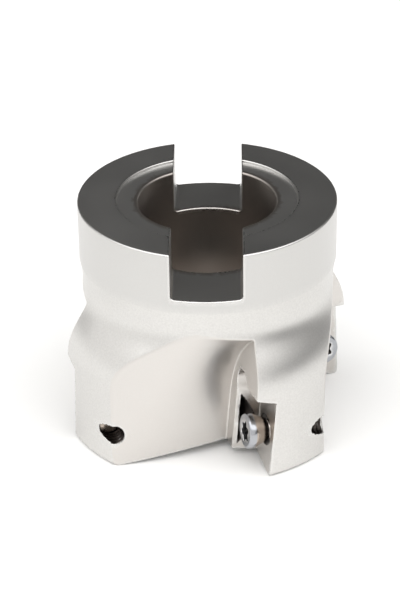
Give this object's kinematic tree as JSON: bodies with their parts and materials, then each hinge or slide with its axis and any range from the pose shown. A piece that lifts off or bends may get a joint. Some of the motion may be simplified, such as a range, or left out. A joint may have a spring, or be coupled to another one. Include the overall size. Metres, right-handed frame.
{
  "type": "face mill",
  "caption": "Shell-mount shoulder and face mill body with collar, key slot, bore, gullets and insert pockets, with its insert clamping screws and no inserts.",
  "frame": {"origin": "under the middle of the cutter, level with the lowest points of the teeth, where it stands on a table", "axes": "+Z along the cutter's axis from the teeth up to the back face; the key slot runs along Y; the teeth stand at -69, 21, 111 and 201 degrees from +X"},
  "size_m": [0.045, 0.045, 0.0386],
  "materials": {
    "nickel_plated_steel": "satin nickel plate",
    "bright_screw_steel": "bright polished"
  },
  "bodies": {
    "cutter": {"cutter_body": "nickel_plated_steel"},
    "screw_a": {"insert_screw_a": "bright_screw_steel"},
    "screw_b": {"insert_screw_b": "bright_screw_steel"},
    "screw_c": {"insert_screw_c": "bright_screw_steel"},
    "screw_d": {"insert_screw_d": "bright_screw_steel"}
  },
  "joints": [
    {"name": "screw_a_travel", "type": "slide", "parent": "cutter", "child": "screw_a", "axis": [-0.9474, -0.3078, 0.0872], "range_m": [-0.0004, 0.0065]},
    {"name": "screw_b_travel", "type": "slide", "parent": "cutter", "child": "screw_b", "axis": [0.3078, -0.9474, 0.0872], "range_m": [-0.0004, 0.0065]},
    {"name": "screw_c_travel", "type": "slide", "parent": "cutter", "child": "screw_c", "axis": [0.9474, 0.3078, 0.0872], "range_m": [-0.0004, 0.0065]},
    {"name": "screw_d_travel", "type": "slide", "parent": "cutter", "child": "screw_d", "axis": [-0.3078, 0.9474, 0.0872], "range_m": [-0.0004, 0.0065]}
  ]
}
